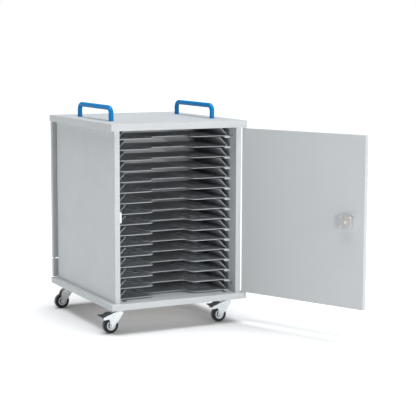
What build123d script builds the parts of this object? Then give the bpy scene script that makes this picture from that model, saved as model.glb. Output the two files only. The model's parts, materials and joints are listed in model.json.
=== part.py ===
# Laptop storage trolley: a board cabinet on four swivel casters, with a rack of pull-out trays
# behind a lockable front door and a rear compartment behind a second door.
#
# Millimetres. +Z is up, the front faces -Y and +X is the right-hand side seen from the front.
# The origin is on the floor, under the centre of the cabinet. The front door stands open and
# everything else is at home.

import math
import os

from build123d import *

os.makedirs("parts", exist_ok=True)

# ---------------------------------------------------------------- driving dimensions
# Boards
BOARD_WIDTH = 600.0
BOARD_DEPTH = 680.0
TOP_THICKNESS = 28.0
BASE_THICKNESS = 25.0
BOARD_EDGE_RADIUS = 1.2

# Tray rack
TRAY_COUNT = 16
TRAY_PITCH = 42.7

# Side panels and doors
SIDE_OVERHANG = 20.0
PANEL_THICKNESS = 22.0
PANEL_FRONT_SETBACK = 16.0
PANEL_REAR_SETBACK = 34.0
DOOR_THICKNESS = 19.0
DOOR_PANEL_GAP = 2.5
DOOR_SIDE_INSET = 6.0
DOOR_END_GAP = 3.5
DOOR_OPEN_ANGLE = 114.0
PIVOT_FROM_END = 5.0
PIVOT_FROM_INNER_FACE = 6.5

# Rear
LOWER_PANEL_HEIGHT = 76.5
REAR_DOOR_BASE_GAP = 7.5

# Casters
CASTER_HEIGHT = 102.0
WHEEL_RADIUS = 32.0
WHEEL_WIDTH = 24.0
CASTER_TRAIL = 36.0
CASTER_X = 243.5
CASTER_Y = 270.0

# ---------------------------------------------------------------- derived places
BODY_HEIGHT = TRAY_COUNT * TRAY_PITCH
BASE_TOP = CASTER_HEIGHT + BASE_THICKNESS
BODY_TOP = BASE_TOP + BODY_HEIGHT
DECK_TOP = BODY_TOP + TOP_THICKNESS

PANEL_OUTER_X = BOARD_WIDTH / 2 - SIDE_OVERHANG
PANEL_INNER_X = PANEL_OUTER_X - PANEL_THICKNESS
PANEL_FRONT_Y = -BOARD_DEPTH / 2 + PANEL_FRONT_SETBACK
PANEL_REAR_Y = BOARD_DEPTH / 2 - PANEL_REAR_SETBACK
PANEL_MIDDLE_Y = (PANEL_FRONT_Y + PANEL_REAR_Y) / 2

DOOR_INNER_Y = PANEL_FRONT_Y - DOOR_PANEL_GAP
DOOR_OUTER_Y = DOOR_INNER_Y - DOOR_THICKNESS
DOOR_MIDDLE_Y = (DOOR_OUTER_Y + DOOR_INNER_Y) / 2
DOOR_END_X = BOARD_WIDTH / 2 - DOOR_SIDE_INSET
PIVOT_X = DOOR_END_X - PIVOT_FROM_END
PIVOT_Y = DOOR_INNER_Y - PIVOT_FROM_INNER_FACE
FRONT_DOOR_BASE = BASE_TOP + DOOR_END_GAP
DOOR_TOP = BODY_TOP - DOOR_END_GAP

LOWER_PANEL_BASE = BASE_TOP + DOOR_END_GAP
LOWER_PANEL_TOP = LOWER_PANEL_BASE + LOWER_PANEL_HEIGHT
REAR_DOOR_BASE = LOWER_PANEL_TOP + REAR_DOOR_BASE_GAP

# A piece drawn on the closed front door is carried to the open door by FRONT_OPENED, and to the
# closed rear door by REAR_CLOSED, which is half a turn about the middle of the cabinet.
PIVOT_POINT = Location((PIVOT_X, PIVOT_Y, 0))
FRONT_OPENED = PIVOT_POINT * Location((0, 0, 0), (0, 0, DOOR_OPEN_ANGLE)) * PIVOT_POINT.inverse()
REAR_CLOSED = Location((0, 0, 0), (0, 0, 180))


def save(piece, label):
    """Name a finished piece and write it as its own STEP file."""
    piece.part.label = label
    export_step(piece.part, f"parts/{label}.step")


def save_moved(piece, label, place):
    """Write a copy of a piece, drawn at its own origin, at its place in the trolley."""
    with BuildPart() as moved:
        with Locations(place):
            add(piece.part)
    save(moved, label)


# ---------------------------------------------------------------- fasteners in the boards
PIN_RADIUS = 3.0
BUSH_BORE_RADIUS = 3.05
BUSH_RADIUS = 4.5
BUSH_DEPTH = 11.0
BUSH_FLANGE_RADIUS = 5.2
BUSH_FLANGE_CLEARANCE = 0.5

HANDLE_X = 227.0
HANDLE_SPAN = 334.0
HANDLE_HEIGHT = 63.0
HANDLE_RADIUS = 10.0
HANDLE_BEND = 24.0
HANDLE_SCREW_RADIUS = 3.0
HANDLE_SCREW_BITE = 18.0
HANDLE_SCREW_HOLE = 3.3
HANDLE_SCREW_TIP_GAP = 1.0
HANDLE_PLACES = [(x, y) for x in (-HANDLE_X, HANDLE_X) for y in (-HANDLE_SPAN / 2, HANDLE_SPAN / 2)]

PLATE_SIZE = 60.0
PLATE_CORNER_RADIUS = 6.0
PLATE_THICKNESS = 2.5
PLATE_HOLE_SPACING = 38.0
BOLT_RADIUS = 3.0
BOLT_HOLE_RADIUS = 3.2
BOLT_BLIND_DEPTH = 16.0
CASTER_PLACES = [(x, y) for x in (-CASTER_X, CASTER_X) for y in (-CASTER_Y, CASTER_Y)]
BOLT_OFFSET = PLATE_HOLE_SPACING / 2
OUTER_BOLTS = [
    (math.copysign(abs(x) + BOLT_OFFSET, x), y + dy)
    for x, y in CASTER_PLACES
    for dy in (-BOLT_OFFSET, BOLT_OFFSET)
]
INNER_BOLTS = [
    (math.copysign(abs(x) - BOLT_OFFSET, x), y + dy)
    for x, y in CASTER_PLACES
    for dy in (-BOLT_OFFSET, BOLT_OFFSET)
]

FITTING_RADIUS = 7.5
FITTING_DEPTH = 12.5
FITTING_PROUD = 0.6
FITTING_FROM_BOARD = 36.0
FITTING_FROM_EDGE = 34.0
FITTING_YS = (PANEL_FRONT_Y + FITTING_FROM_EDGE, PANEL_REAR_Y - FITTING_FROM_EDGE)
FITTING_ZS = (BASE_TOP + FITTING_FROM_BOARD, BODY_TOP - FITTING_FROM_BOARD)
FITTING_PLACES = [(y, z) for y in FITTING_YS for z in FITTING_ZS]

# ---------------------------------------------------------------- top and base boards
with BuildPart() as top_board:
    with BuildSketch(Plane.XY.offset(BODY_TOP)):
        Rectangle(BOARD_WIDTH, BOARD_DEPTH)
    extrude(amount=TOP_THICKNESS)
    fillet(top_board.edges(), BOARD_EDGE_RADIUS)
    with BuildSketch(Plane.XY.offset(BODY_TOP)):
        with Locations(*HANDLE_PLACES):
            Circle(HANDLE_SCREW_HOLE)
    extrude(amount=TOP_THICKNESS, mode=Mode.SUBTRACT)
    with BuildSketch(Plane.XY.offset(BODY_TOP)):
        with Locations((PIVOT_X, PIVOT_Y), (-PIVOT_X, -PIVOT_Y)):
            Circle(BUSH_RADIUS)
    extrude(amount=BUSH_DEPTH, mode=Mode.SUBTRACT)
save(top_board, "top_board")

with BuildPart() as base_board:
    with BuildSketch(Plane.XY.offset(CASTER_HEIGHT)):
        Rectangle(BOARD_WIDTH, BOARD_DEPTH)
    extrude(amount=BASE_THICKNESS)
    fillet(base_board.edges(), BOARD_EDGE_RADIUS)
    with BuildSketch(Plane.XY.offset(BASE_TOP)):
        with Locations((PIVOT_X, PIVOT_Y)):
            Circle(BUSH_RADIUS)
    extrude(amount=-BUSH_DEPTH, mode=Mode.SUBTRACT)
    with BuildSketch(Plane.XY.offset(CASTER_HEIGHT)):
        with Locations(*OUTER_BOLTS):
            Circle(BOLT_RADIUS)
    extrude(amount=BOLT_BLIND_DEPTH, mode=Mode.SUBTRACT)
    with BuildSketch(Plane.XY.offset(CASTER_HEIGHT)):
        with Locations(*INNER_BOLTS):
            Circle(BOLT_HOLE_RADIUS)
    extrude(amount=BASE_THICKNESS, mode=Mode.SUBTRACT)
save(base_board, "base_board")

# ---------------------------------------------------------------- lock
# The lock is drawn on the closed front door, with its bolt leaving towards -X. The rear lock
# is the same lock, turned half a turn about the cabinet's centre.
LOCK_Z = 469.5
LOCK_OUTER_X = -245.0
LOCK_WIDTH = 54.0
LOCK_HEIGHT = 52.0
LOCK_DEPTH = 18.0
LOCK_WALL = 1.5
LOCK_COVER = 2.0
LOCK_CORNER_RADIUS = 6.0
LOCK_EDGE_RADIUS = 1.2
LOCK_CENTRE_X = LOCK_OUTER_X + LOCK_WIDTH / 2
CYLINDER_X = -220.0
CYLINDER_RADIUS = 6.0
CYLINDER_HOLE_RADIUS = 6.08
CYLINDER_HEAD_RADIUS = 8.0
CYLINDER_PROUD = 1.5
KEY_SLOT = (1.6, 7.5)
KEY_SLOT_DEPTH = 6.0
CYLINDER_COLLAR_CLEARANCE = 0.3
BOLT_THROW = 10.0
BOLT_HEIGHT = 24.0
BOLT_THICKNESS = 5.0
BOLT_FACE_Y = DOOR_INNER_Y + 8.5
BOLT_LENGTH = 52.0
BOLT_SLOT_CLEARANCE = 0.4
LOCK_SCREW_SPACING = (43.0, 39.0)
LOCK_SCREW_RADIUS = 1.75
LOCK_SCREW_BITE = 10.0
LOCK_SCREW_HEAD_RADIUS = 3.4
LOCK_SCREW_HEAD = 1.8
SCREW_HEAD_TAPER = 20.0
LOCK_BOSS_RADIUS = 3.6
LOCK_SCREW_PLACES = [
    (LOCK_CENTRE_X + sx * LOCK_SCREW_SPACING[0] / 2, LOCK_Z + sz * LOCK_SCREW_SPACING[1] / 2)
    for sx in (-1, 1)
    for sz in (-1, 1)
]


def wall_plane(y):
    """The plane facing the front at depth y, drawn in X and Z."""
    return Plane.XZ.offset(-y)


with BuildPart() as lock_case:
    with BuildSketch(wall_plane(DOOR_INNER_Y)):
        with Locations((LOCK_CENTRE_X, LOCK_Z)):
            RectangleRounded(LOCK_WIDTH, LOCK_HEIGHT, LOCK_CORNER_RADIUS)
    extrude(amount=-LOCK_DEPTH)
    fillet(lock_case.faces().sort_by(Axis.Y)[-1].edges(), LOCK_EDGE_RADIUS)
    with BuildSketch(wall_plane(DOOR_INNER_Y)):
        with Locations((LOCK_CENTRE_X, LOCK_Z)):
            RectangleRounded(
                LOCK_WIDTH - 2 * LOCK_WALL, LOCK_HEIGHT - 2 * LOCK_WALL, LOCK_CORNER_RADIUS - LOCK_WALL
            )
    extrude(amount=-(LOCK_DEPTH - LOCK_COVER), mode=Mode.SUBTRACT)
    with BuildSketch(wall_plane(DOOR_INNER_Y)):
        with Locations(*LOCK_SCREW_PLACES):
            Circle(LOCK_BOSS_RADIUS)
    extrude(amount=-(LOCK_DEPTH - LOCK_COVER))
    with BuildSketch(wall_plane(DOOR_INNER_Y)):
        with Locations(*LOCK_SCREW_PLACES):
            Circle(LOCK_SCREW_RADIUS)
        with Locations((CYLINDER_X, LOCK_Z)):
            Circle(CYLINDER_HOLE_RADIUS)
    extrude(amount=-LOCK_DEPTH, mode=Mode.SUBTRACT)
    with BuildSketch(Plane.YZ.offset(LOCK_OUTER_X)):
        with Locations((BOLT_FACE_Y + BOLT_THICKNESS / 2, LOCK_Z)):
            Rectangle(BOLT_THICKNESS + BOLT_SLOT_CLEARANCE, BOLT_HEIGHT + BOLT_SLOT_CLEARANCE)
    extrude(amount=2 * LOCK_WALL, mode=Mode.SUBTRACT)

with BuildPart() as lock_screws:
    with BuildSketch(wall_plane(DOOR_INNER_Y + LOCK_DEPTH)):
        with Locations(*LOCK_SCREW_PLACES):
            Circle(LOCK_SCREW_RADIUS)
    extrude(amount=LOCK_DEPTH + LOCK_SCREW_BITE)
    with BuildSketch(wall_plane(DOOR_INNER_Y + LOCK_DEPTH)):
        with Locations(*LOCK_SCREW_PLACES):
            Circle(LOCK_SCREW_HEAD_RADIUS)
    extrude(amount=-LOCK_SCREW_HEAD, taper=SCREW_HEAD_TAPER)

with BuildPart() as lock_cylinder:
    with BuildSketch(wall_plane(DOOR_INNER_Y + LOCK_DEPTH + CYLINDER_PROUD)):
        with Locations((CYLINDER_X, LOCK_Z)):
            Circle(CYLINDER_RADIUS)
    extrude(amount=DOOR_THICKNESS + LOCK_DEPTH + 2 * CYLINDER_PROUD)
    with BuildSketch(wall_plane(DOOR_OUTER_Y - CYLINDER_PROUD)):
        with Locations((CYLINDER_X, LOCK_Z)):
            Circle(CYLINDER_HEAD_RADIUS)
    extrude(amount=-(CYLINDER_PROUD - CYLINDER_COLLAR_CLEARANCE))
    with BuildSketch(wall_plane(DOOR_INNER_Y + LOCK_DEPTH + CYLINDER_PROUD)):
        with Locations((CYLINDER_X, LOCK_Z)):
            Rectangle(*KEY_SLOT)
    extrude(amount=KEY_SLOT_DEPTH, mode=Mode.SUBTRACT)
    with BuildSketch(wall_plane(DOOR_OUTER_Y - CYLINDER_PROUD)):
        with Locations((CYLINDER_X, LOCK_Z)):
            Rectangle(*KEY_SLOT)
    extrude(amount=-KEY_SLOT_DEPTH, mode=Mode.SUBTRACT)

SLOT_LENGTH = BOLT_THROW + 2 * CYLINDER_RADIUS + 2 * BOLT_SLOT_CLEARANCE
SLOT_HEIGHT = 2 * CYLINDER_RADIUS + 2 * BOLT_SLOT_CLEARANCE
with BuildPart() as lock_bolt:
    with BuildSketch(wall_plane(BOLT_FACE_Y)):
        with Locations((LOCK_OUTER_X + BOLT_LENGTH / 2, LOCK_Z)):
            Rectangle(BOLT_LENGTH, BOLT_HEIGHT)
        with Locations((CYLINDER_X + BOLT_THROW / 2, LOCK_Z)):
            SlotOverall(SLOT_LENGTH, SLOT_HEIGHT, mode=Mode.SUBTRACT)
    extrude(amount=-BOLT_THICKNESS)

STRIKE_HEIGHT = 42.0
STRIKE_THICKNESS = 2.0
STRIKE_FRONT_EDGE = 2.0
STRIKE_DEPTH = 24.0
STRIKE_LIP = 7.4
STRIKE_SCREW_RADIUS = 2.0
STRIKE_SCREW_RISE = 13.0
STRIKE_SCREW_FROM_EDGE = 15.0

# ---------------------------------------------------------------- side panels
def side_panel(outwards):
    """One upright side panel: outwards is -1 for the left panel and +1 for the right one."""
    inner_x = outwards * PANEL_INNER_X
    with BuildPart() as panel:
        with BuildSketch(Plane.XY.offset(BASE_TOP)):
            with Locations((inner_x + outwards * PANEL_THICKNESS / 2, PANEL_MIDDLE_Y)):
                Rectangle(PANEL_THICKNESS, PANEL_REAR_Y - PANEL_FRONT_Y)
        extrude(amount=BODY_HEIGHT)
        fillet(panel.edges().filter_by(Axis.Z), BOARD_EDGE_RADIUS)
        with BuildSketch(Plane.YZ.offset(inner_x)):
            with Locations(*FITTING_PLACES):
                Circle(FITTING_RADIUS)
        extrude(amount=outwards * FITTING_DEPTH, mode=Mode.SUBTRACT)
    return panel


save(side_panel(-1), "left_side_panel")
save(side_panel(1), "right_side_panel")

with BuildPart() as panel_connectors:
    for outwards in (-1, 1):
        with BuildSketch(Plane.YZ.offset(outwards * (PANEL_INNER_X - FITTING_PROUD))):
            with Locations(*FITTING_PLACES):
                Circle(FITTING_RADIUS)
        extrude(amount=outwards * (FITTING_DEPTH + FITTING_PROUD))
save(panel_connectors, "panel_connectors")

# The strike is an angle: its wide leg is screwed to the side panel, and the bolt catches its lip.
STRIKE_Y = PANEL_FRONT_Y + STRIKE_FRONT_EDGE
with BuildPart() as strike:
    with BuildSketch(Plane.XY.offset(LOCK_Z - STRIKE_HEIGHT / 2)):
        with BuildLine():
            Polyline(
                (-PANEL_INNER_X, STRIKE_Y),
                (-PANEL_INNER_X + STRIKE_LIP, STRIKE_Y),
                (-PANEL_INNER_X + STRIKE_LIP, STRIKE_Y + STRIKE_THICKNESS),
                (-PANEL_INNER_X + STRIKE_THICKNESS, STRIKE_Y + STRIKE_THICKNESS),
                (-PANEL_INNER_X + STRIKE_THICKNESS, STRIKE_Y + STRIKE_DEPTH),
                (-PANEL_INNER_X, STRIKE_Y + STRIKE_DEPTH),
                close=True,
            )
        make_face()
    extrude(amount=STRIKE_HEIGHT)
    with BuildSketch(Plane.YZ.offset(-PANEL_INNER_X)):
        with Locations(
            *[(STRIKE_Y + STRIKE_SCREW_FROM_EDGE, LOCK_Z + s * STRIKE_SCREW_RISE) for s in (-1, 1)]
        ):
            Circle(STRIKE_SCREW_RADIUS)
    extrude(amount=STRIKE_THICKNESS, mode=Mode.SUBTRACT)
save(strike, "front_strike")
save_moved(strike, "rear_strike", REAR_CLOSED)

# ---------------------------------------------------------------- bay back panel
BACK_PANEL_Y = 40.0
BACK_PANEL_THICKNESS = 12.0
CABLE_SLOT_X = -200.0
CABLE_SLOT_WIDTH = 40.0
CABLE_SLOT_MARGIN = 60.0
with BuildPart() as bay_back_panel:
    with BuildSketch(Plane.XY.offset(BASE_TOP)):
        with Locations((0, BACK_PANEL_Y + BACK_PANEL_THICKNESS / 2)):
            Rectangle(2 * PANEL_INNER_X, BACK_PANEL_THICKNESS)
    extrude(amount=BODY_HEIGHT)
    with BuildSketch(wall_plane(BACK_PANEL_Y)):
        with Locations((CABLE_SLOT_X, BASE_TOP + BODY_HEIGHT / 2)):
            SlotOverall(BODY_HEIGHT - 2 * CABLE_SLOT_MARGIN, CABLE_SLOT_WIDTH, rotation=90)
    extrude(amount=-BACK_PANEL_THICKNESS, mode=Mode.SUBTRACT)
save(bay_back_panel, "bay_back_panel")

# ---------------------------------------------------------------- tray rails
RACK_FRONT_Y = -270.0
RACK_REAR_Y = 30.0
RACK_DEPTH = RACK_REAR_Y - RACK_FRONT_Y
RAIL_WIDTH = 24.0
RAIL_HEIGHT = 8.0
RAIL_CHAMFER = 5.0
FLOOR_STRIP_CHAMFER = 0.5
RAIL_TOP_RISE = 4.0
RAIL_TOPS = [BASE_TOP + level * TRAY_PITCH + RAIL_TOP_RISE for level in range(TRAY_COUNT)]


def tray_rails(inwards):
    """All rails of one side panel; inwards is +1 on the left panel and -1 on the right one."""
    wall_x = -inwards * PANEL_INNER_X
    tip_x = wall_x + inwards * RAIL_WIDTH
    with BuildPart() as rails:
        for level, top in enumerate(RAIL_TOPS):
            height = RAIL_TOP_RISE if level == 0 else RAIL_HEIGHT
            chamfer_size = FLOOR_STRIP_CHAMFER if level == 0 else RAIL_CHAMFER
            with BuildSketch(wall_plane(RACK_FRONT_Y)):
                with BuildLine():
                    Polyline(
                        (wall_x, top),
                        (tip_x, top),
                        (tip_x, top - height + chamfer_size),
                        (tip_x - inwards * chamfer_size, top - height),
                        (wall_x, top - height),
                        close=True,
                    )
                make_face()
            extrude(amount=-RACK_DEPTH)
    return rails


save(tray_rails(1), "left_tray_rails")
save(tray_rails(-1), "right_tray_rails")

# ---------------------------------------------------------------- trays
TRAY_HALF_WIDTH = 250.0
TRAY_THICKNESS = 2.0
TRAY_WALL_RISE = 37.5
TRAY_WALL_THICKNESS = 2.6
TRAY_CLEARANCE = 0.3
TRAY_REAR_LIP = 9.0
RECESS_OUTER = 106.0
RECESS_INNER = 58.0
RECESS_DEPTH = 62.0
VENT_WIDTH = 5.0
VENT_ROW_PITCH = 38.5
VENT_ROWS = 5
VENT_FIRST_Y = RACK_FRONT_Y + 81.0
VENT_COLUMNS = ((86.0, 30.0), (134.0, 38.0), (186.0, 42.0))
VENT_STAGGER = 10.0
VENT_ROW_YS = [VENT_FIRST_Y + row * VENT_ROW_PITCH for row in range(VENT_ROWS)]

RECESS_BACK_Y = RACK_FRONT_Y + RECESS_DEPTH
WALL_FOOT_X = TRAY_HALF_WIDTH - TRAY_WALL_THICKNESS
WALL_TOP_X = TRAY_HALF_WIDTH - TRAY_WALL_RISE

with BuildPart() as tray:
    with BuildSketch(Plane.XY):
        with BuildLine():
            Polyline(
                (-RECESS_OUTER, RACK_FRONT_Y),
                (-TRAY_HALF_WIDTH, RACK_FRONT_Y),
                (-TRAY_HALF_WIDTH, RACK_REAR_Y),
                (TRAY_HALF_WIDTH, RACK_REAR_Y),
                (TRAY_HALF_WIDTH, RACK_FRONT_Y),
                (RECESS_OUTER, RACK_FRONT_Y),
            )
            Spline(
                (RECESS_OUTER, RACK_FRONT_Y),
                (RECESS_INNER, RECESS_BACK_Y),
                tangents=[(-1, 0), (-1, 0)],
            )
            Line((RECESS_INNER, RECESS_BACK_Y), (-RECESS_INNER, RECESS_BACK_Y))
            Spline(
                (-RECESS_INNER, RECESS_BACK_Y),
                (-RECESS_OUTER, RACK_FRONT_Y),
                tangents=[(-1, 0), (-1, 0)],
            )
        make_face()
        for row, vent_y in enumerate(VENT_ROW_YS):
            for column_x, vent_length in VENT_COLUMNS:
                vent_x = column_x + VENT_STAGGER * (row % 2)
                with Locations((-vent_x, vent_y), (vent_x, vent_y)):
                    SlotOverall(vent_length, VENT_WIDTH, mode=Mode.SUBTRACT)
    extrude(amount=TRAY_THICKNESS)
    for side in (-1, 1):
        with BuildSketch(wall_plane(RACK_FRONT_Y)):
            with BuildLine():
                Polyline(
                    (side * WALL_FOOT_X, 0),
                    (side * TRAY_HALF_WIDTH, 0),
                    (side * WALL_TOP_X, TRAY_WALL_RISE),
                    (side * (WALL_TOP_X - TRAY_WALL_THICKNESS), TRAY_WALL_RISE),
                    close=True,
                )
            make_face()
        extrude(amount=-RACK_DEPTH)
    with BuildSketch(Plane.XY):
        with Locations((0, RACK_REAR_Y - TRAY_THICKNESS / 2)):
            Rectangle(2 * (TRAY_HALF_WIDTH - TRAY_REAR_LIP) - TRAY_WALL_THICKNESS, TRAY_THICKNESS)
    extrude(amount=TRAY_REAR_LIP)

for level, rail_top in enumerate(RAIL_TOPS):
    save_moved(tray, f"tray_{level + 1:02d}", Location((0, 0, rail_top + TRAY_CLEARANCE)))

# ---------------------------------------------------------------- rear lower panel
with BuildPart() as rear_lower_panel:
    with BuildSketch(Plane.XY.offset(LOWER_PANEL_BASE)):
        with Locations((0, -DOOR_MIDDLE_Y)):
            Rectangle(2 * DOOR_END_X, DOOR_THICKNESS)
    extrude(amount=LOWER_PANEL_HEIGHT)
    fillet(rear_lower_panel.edges(), BOARD_EDGE_RADIUS)
    with BuildSketch(Plane.XY.offset(LOWER_PANEL_TOP)):
        with Locations((-PIVOT_X, -PIVOT_Y)):
            Circle(BUSH_RADIUS)
    extrude(amount=-BUSH_DEPTH, mode=Mode.SUBTRACT)
save(rear_lower_panel, "rear_lower_panel")

BRACKET_LEG = 40.0
BRACKET_WIDTH = 30.0
BRACKET_THICKNESS = 2.0
BRACKET_X = 190.0
BRACKET_FACE_Y = -DOOR_INNER_Y
with BuildPart() as rear_panel_brackets:
    for x in (-BRACKET_X, BRACKET_X):
        with BuildSketch(Plane.YZ.offset(x - BRACKET_WIDTH / 2)):
            with BuildLine():
                Polyline(
                    (BRACKET_FACE_Y, BASE_TOP),
                    (BRACKET_FACE_Y, BASE_TOP + BRACKET_LEG),
                    (BRACKET_FACE_Y - BRACKET_THICKNESS, BASE_TOP + BRACKET_LEG),
                    (BRACKET_FACE_Y - BRACKET_THICKNESS, BASE_TOP + BRACKET_THICKNESS),
                    (BRACKET_FACE_Y - BRACKET_LEG, BASE_TOP + BRACKET_THICKNESS),
                    (BRACKET_FACE_Y - BRACKET_LEG, BASE_TOP),
                    close=True,
                )
            make_face()
        extrude(amount=BRACKET_WIDTH)
save(rear_panel_brackets, "rear_panel_brackets")

# ---------------------------------------------------------------- doors
PIVOT_PLATE_LENGTH = 34.0
PIVOT_PLATE_WIDTH = 11.0
PIVOT_PLATE_THICKNESS = 2.0
PIVOT_PLATE_INSET = 1.0
PIVOT_PLATE_X = DOOR_END_X - PIVOT_PLATE_INSET - PIVOT_PLATE_LENGTH / 2


def door_panel(base, top):
    """A closed door on the front of the cabinet, from height base to height top."""
    with BuildPart() as door:
        with BuildSketch(Plane.XY.offset(base)):
            with Locations((0, DOOR_MIDDLE_Y)):
                Rectangle(2 * DOOR_END_X, DOOR_THICKNESS)
        extrude(amount=top - base)
        fillet(door.edges(), BOARD_EDGE_RADIUS)
        for height, sink in ((base, PIVOT_PLATE_THICKNESS), (top, -PIVOT_PLATE_THICKNESS)):
            with BuildSketch(Plane.XY.offset(height)):
                with Locations((PIVOT_PLATE_X, PIVOT_Y)):
                    Rectangle(PIVOT_PLATE_LENGTH, PIVOT_PLATE_WIDTH)
            extrude(amount=sink, mode=Mode.SUBTRACT)
        with BuildSketch(wall_plane(DOOR_INNER_Y)):
            with Locations((CYLINDER_X, LOCK_Z)):
                Circle(CYLINDER_HOLE_RADIUS)
        extrude(amount=DOOR_THICKNESS, mode=Mode.SUBTRACT)
        with BuildSketch(wall_plane(DOOR_INNER_Y)):
            with Locations(*LOCK_SCREW_PLACES):
                Circle(LOCK_SCREW_RADIUS)
        extrude(amount=LOCK_SCREW_BITE, mode=Mode.SUBTRACT)
    return door


def door_pivots(base, top, base_reach, top_reach):
    """The two pivot plates of a closed door; the pins stand out of it by the two reaches."""
    with BuildPart() as pivots:
        for height, upwards, reach in ((base, 1, base_reach), (top, -1, top_reach)):
            with BuildSketch(Plane.XY.offset(height)):
                with Locations((PIVOT_PLATE_X, PIVOT_Y)):
                    Rectangle(PIVOT_PLATE_LENGTH, PIVOT_PLATE_WIDTH)
            extrude(amount=upwards * PIVOT_PLATE_THICKNESS)
            with BuildSketch(Plane.XY.offset(height)):
                with Locations((PIVOT_X, PIVOT_Y)):
                    Circle(PIN_RADIUS)
            extrude(amount=-upwards * reach)
    return pivots


PIN_BITE = 9.0
FRONT_REACH = DOOR_END_GAP + PIN_BITE
REAR_REACH = REAR_DOOR_BASE_GAP + PIN_BITE
DOORS = (
    ("front", FRONT_OPENED, FRONT_DOOR_BASE, FRONT_REACH),
    ("rear", REAR_CLOSED, REAR_DOOR_BASE, REAR_REACH),
)
for end, place, door_base, base_reach in DOORS:
    save_moved(door_panel(door_base, DOOR_TOP), f"{end}_door", place)
    save_moved(door_pivots(door_base, DOOR_TOP, base_reach, FRONT_REACH), f"{end}_door_pivots", place)
    save_moved(lock_case, f"{end}_lock_case", place)
    save_moved(lock_screws, f"{end}_lock_screws", place)
    save_moved(lock_cylinder, f"{end}_lock_cylinder", place)
    save_moved(lock_bolt, f"{end}_lock_bolt", place)

# ---------------------------------------------------------------- pivot bushes
BUSHES = (
    (PIVOT_X, PIVOT_Y, BODY_TOP, 1, DOOR_END_GAP),
    (PIVOT_X, PIVOT_Y, BASE_TOP, -1, DOOR_END_GAP),
    (-PIVOT_X, -PIVOT_Y, BODY_TOP, 1, DOOR_END_GAP),
    (-PIVOT_X, -PIVOT_Y, LOWER_PANEL_TOP, -1, REAR_DOOR_BASE_GAP),
)
with BuildPart() as door_pivot_bushes:
    for x, y, face, into, gap in BUSHES:
        flange = gap - BUSH_FLANGE_CLEARANCE
        with BuildSketch(Plane.XY.offset(face)):
            with Locations((x, y)):
                Circle(BUSH_RADIUS)
        extrude(amount=into * BUSH_DEPTH)
        with BuildSketch(Plane.XY.offset(face)):
            with Locations((x, y)):
                Circle(BUSH_FLANGE_RADIUS)
        extrude(amount=-into * flange)
        with BuildSketch(Plane.XY.offset(face - into * flange)):
            with Locations((x, y)):
                Circle(BUSH_BORE_RADIUS)
        extrude(amount=into * (gap + PIN_BITE), mode=Mode.SUBTRACT)
save(door_pivot_bushes, "door_pivot_bushes")

# ---------------------------------------------------------------- handles
for label, x in (("left_handle", -HANDLE_X), ("right_handle", HANDLE_X)):
    rail_z = DECK_TOP + HANDLE_HEIGHT - HANDLE_RADIUS
    foot = HANDLE_SPAN / 2
    with BuildPart() as handle:
        with BuildLine(Plane.YZ.offset(x)):
            FilletPolyline(
                (-foot, DECK_TOP), (-foot, rail_z), (foot, rail_z), (foot, DECK_TOP), radius=HANDLE_BEND
            )
        with BuildSketch(Plane.XY.offset(DECK_TOP)):
            with Locations((x, -foot)):
                Circle(HANDLE_RADIUS)
        sweep()
        with BuildSketch(Plane.XY.offset(DECK_TOP)):
            with Locations((x, -foot), (x, foot)):
                Circle(HANDLE_SCREW_RADIUS)
        extrude(amount=HANDLE_SCREW_BITE, mode=Mode.SUBTRACT)
    save(handle, label)

SCREW_HEAD_RADIUS = 5.5
SCREW_HEAD_HEIGHT = 3.0
with BuildPart() as handle_screws:
    with BuildSketch(Plane.XY.offset(BODY_TOP)):
        with Locations(*HANDLE_PLACES):
            Circle(HANDLE_SCREW_RADIUS)
    extrude(amount=TOP_THICKNESS + HANDLE_SCREW_BITE - HANDLE_SCREW_TIP_GAP)
    with BuildSketch(Plane.XY.offset(BODY_TOP)):
        with Locations(*HANDLE_PLACES):
            Circle(SCREW_HEAD_RADIUS)
    extrude(amount=-SCREW_HEAD_HEIGHT)
save(handle_screws, "handle_screws")

# ---------------------------------------------------------------- caster mounting plates
PLATE_BOTTOM = CASTER_HEIGHT - PLATE_THICKNESS
HOUSING_RADIUS = 18.0
HOUSING_HEIGHT = 4.0
HOUSING_TAPER = 15.0
KINGPIN_RADIUS = 5.0
KINGPIN_HEAD_RADIUS = 8.0
KINGPIN_HEAD_HEIGHT = 2.5
KINGPIN_HEAD_TAPER = 20.0
CROWN_TOP = 86.5
CROWN_THICKNESS = 2.5
CROWN_GAP = 0.4
KINGPIN_SHOULDER_Z = CROWN_TOP - CROWN_THICKNESS - CROWN_GAP
with BuildPart() as caster_top_plates:
    with BuildSketch(Plane.XY.offset(PLATE_BOTTOM)):
        with Locations(*CASTER_PLACES):
            RectangleRounded(PLATE_SIZE, PLATE_SIZE, PLATE_CORNER_RADIUS)
        with Locations(*OUTER_BOLTS, *INNER_BOLTS):
            Circle(BOLT_HOLE_RADIUS, mode=Mode.SUBTRACT)
    extrude(amount=PLATE_THICKNESS)
    with BuildSketch(Plane.XY.offset(PLATE_BOTTOM)):
        with Locations(*CASTER_PLACES):
            Circle(HOUSING_RADIUS)
    extrude(amount=-HOUSING_HEIGHT, taper=HOUSING_TAPER)
    with BuildSketch(Plane.XY.offset(PLATE_BOTTOM)):
        with Locations(*CASTER_PLACES):
            Circle(KINGPIN_RADIUS)
    extrude(amount=KINGPIN_SHOULDER_Z - PLATE_BOTTOM)
    with BuildSketch(Plane.XY.offset(KINGPIN_SHOULDER_Z)):
        with Locations(*CASTER_PLACES):
            Circle(KINGPIN_HEAD_RADIUS)
    extrude(amount=-KINGPIN_HEAD_HEIGHT, taper=KINGPIN_HEAD_TAPER)
save(caster_top_plates, "caster_top_plates")

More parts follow.
